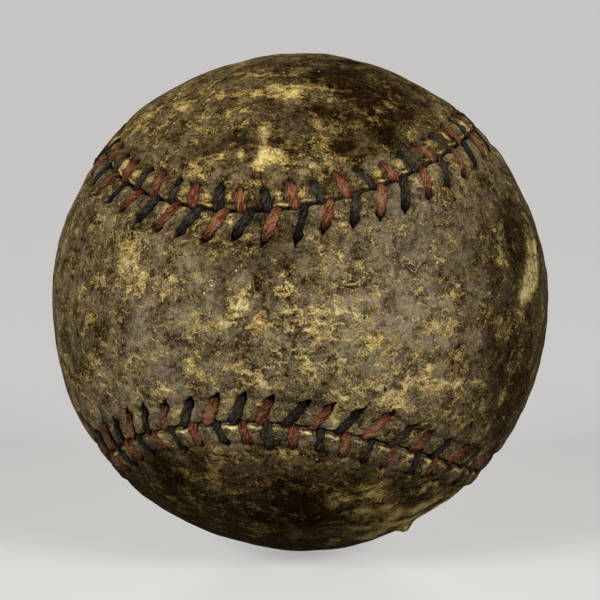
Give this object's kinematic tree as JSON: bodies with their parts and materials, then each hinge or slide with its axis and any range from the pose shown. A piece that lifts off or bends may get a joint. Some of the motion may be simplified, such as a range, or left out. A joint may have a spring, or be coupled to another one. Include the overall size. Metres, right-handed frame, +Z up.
{
  "type": "baseball",
  "caption": "Old hand-sewn baseball: wound yarn on a cork and rubber core, under two dark worn leather covers sewn together with red and black thread.",
  "frame": {"origin": "the ball's centre", "axes": "+Z up; -Y through the middle of the front cover's waist; +X along the front cover's long direction"},
  "size_m": [0.074, 0.074, 0.074],
  "materials": {
    "cork": "fine-grained cork, matte",
    "black_rubber": "moulded, matte",
    "red_rubber": "moulded, matte",
    "grey_wool": "wound wool yarn",
    "white_wool": "wound wool yarn",
    "white_cotton": "wound cotton yarn",
    "cement": "dried rubber cement, tacky",
    "worn_leather": "dark with handling, worn to tan",
    "red_thread": "waxed, faded",
    "black_thread": "waxed"
  },
  "bodies": {
    "root": {"cork_core": "cork", "black_rubber_half_left": "black_rubber", "black_rubber_half_right": "black_rubber", "rubber_gasket": "red_rubber", "red_rubber_half_top": "red_rubber", "red_rubber_half_bottom": "red_rubber", "inner_wool_winding": "grey_wool", "middle_wool_winding": "white_wool", "outer_wool_winding": "grey_wool", "cotton_winding": "white_cotton", "cement_coat": "cement", "front_cover": "worn_leather", "back_cover": "worn_leather", "red_thread": "red_thread", "black_thread": "black_thread"}
  },
  "joints": []
}
